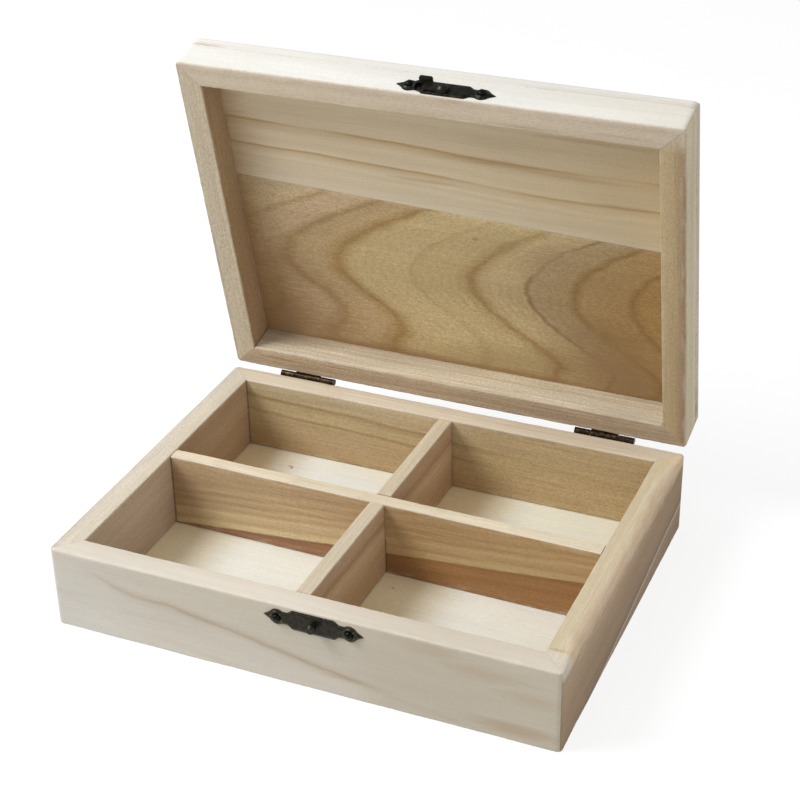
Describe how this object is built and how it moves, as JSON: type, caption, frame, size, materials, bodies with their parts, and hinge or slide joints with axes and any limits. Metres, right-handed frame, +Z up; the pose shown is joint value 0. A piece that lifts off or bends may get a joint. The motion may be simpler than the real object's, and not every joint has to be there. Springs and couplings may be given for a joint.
{
  "type": "wooden compartment box",
  "caption": "Pale wooden storage box with crossed dividers, a hinged lid standing open and a swing-hook latch.",
  "frame": {"origin": "centre of the box's underside, on the surface it stands on", "axes": "+X along the front from left to right, +Y to the hinged back, +Z up"},
  "size_m": [0.2, 0.1741, 0.1873],
  "materials": {
    "wall_wood": "sanded, unfinished",
    "lid_panel_wood": "sanded, unfinished",
    "divider_wood": "sanded, unfinished",
    "base_plywood": "sanded, unfinished",
    "hinge_bronze": "antiqued bronze plating",
    "latch_bronze": "antiqued bronze plating"
  },
  "bodies": {
    "box": {"box_front_wall": "wall_wood", "box_back_wall": "wall_wood", "box_left_wall": "wall_wood", "box_right_wall": "wall_wood", "box_base_panel": "base_plywood", "long_divider": "divider_wood", "cross_divider": "divider_wood", "left_hinge_box_leaf": "hinge_bronze", "left_hinge_pin": "hinge_bronze", "right_hinge_box_leaf": "hinge_bronze", "right_hinge_pin": "hinge_bronze", "latch_box_plate": "latch_bronze", "latch_stud": "latch_bronze", "box_nails": "latch_bronze"},
    "lid": {"lid_front_wall": "wall_wood", "lid_back_wall": "wall_wood", "lid_left_wall": "wall_wood", "lid_right_wall": "wall_wood", "lid_panel_front_board": "lid_panel_wood", "lid_panel_rear_board": "lid_panel_wood", "left_hinge_lid_leaf": "hinge_bronze", "right_hinge_lid_leaf": "hinge_bronze", "latch_lid_plate": "latch_bronze", "latch_rivet": "latch_bronze", "lid_nails": "latch_bronze"},
    "latch_lever": {"latch_lever": "latch_bronze"}
  },
  "joints": [
    {"name": "lid_hinge", "type": "hinge", "parent": "box", "child": "lid", "pos_m": [0, 0.0765, 0.0341], "axis": [-1, 0, 0], "range_deg": [-77.4, 102.6]},
    {"name": "latch_swing", "type": "hinge", "parent": "lid", "child": "latch_lever", "pos_m": [0.0086, 0.04716, 0.18278], "axis": [0, 0.2181, -0.9759], "range_deg": [-90, 90]}
  ]
}
